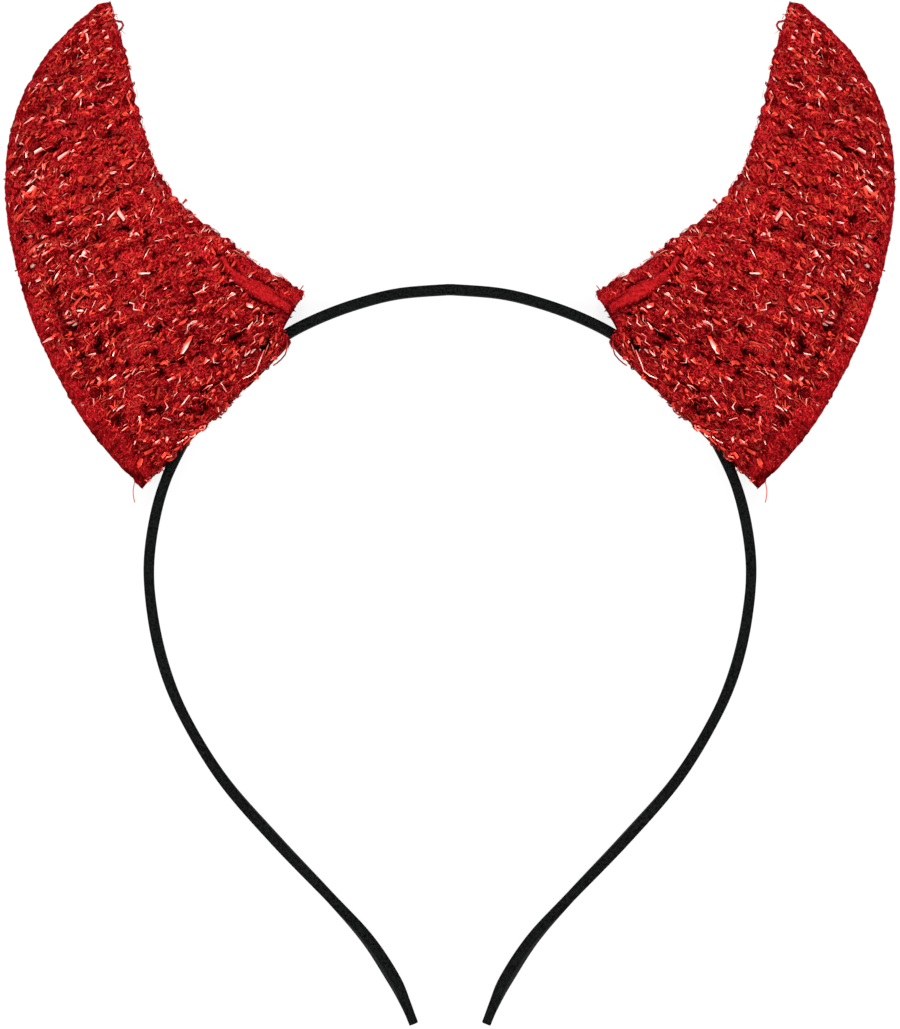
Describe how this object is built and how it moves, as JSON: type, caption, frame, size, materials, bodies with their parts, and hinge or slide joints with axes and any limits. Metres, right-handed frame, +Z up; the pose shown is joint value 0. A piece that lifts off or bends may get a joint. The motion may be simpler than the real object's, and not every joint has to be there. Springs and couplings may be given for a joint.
{
  "type": "devil horns headband",
  "caption": "Black satin-covered spring headband with curved red tinsel-cloth devil horns, hollow cloth pockets that the band runs through at their open bases.",
  "frame": {"origin": "on the floor, in the middle of the whole outline, with the headband lying on its back", "axes": "+Z up out of the front of the horns, +Y from the band's open ends to the horn tips, +X to the right seen from the front"},
  "size_m": [0.1782, 0.205, 0.013],
  "materials": {
    "black_satin": "fine woven black satin, soft sheen",
    "red_tinsel_cloth": "knitted red tinsel pile, glittering"
  },
  "bodies": {
    "root": {"band": "black_satin", "horn_left_front": "red_tinsel_cloth", "horn_left_back": "red_tinsel_cloth", "horn_right_front": "red_tinsel_cloth", "horn_right_back": "red_tinsel_cloth"}
  },
  "joints": []
}
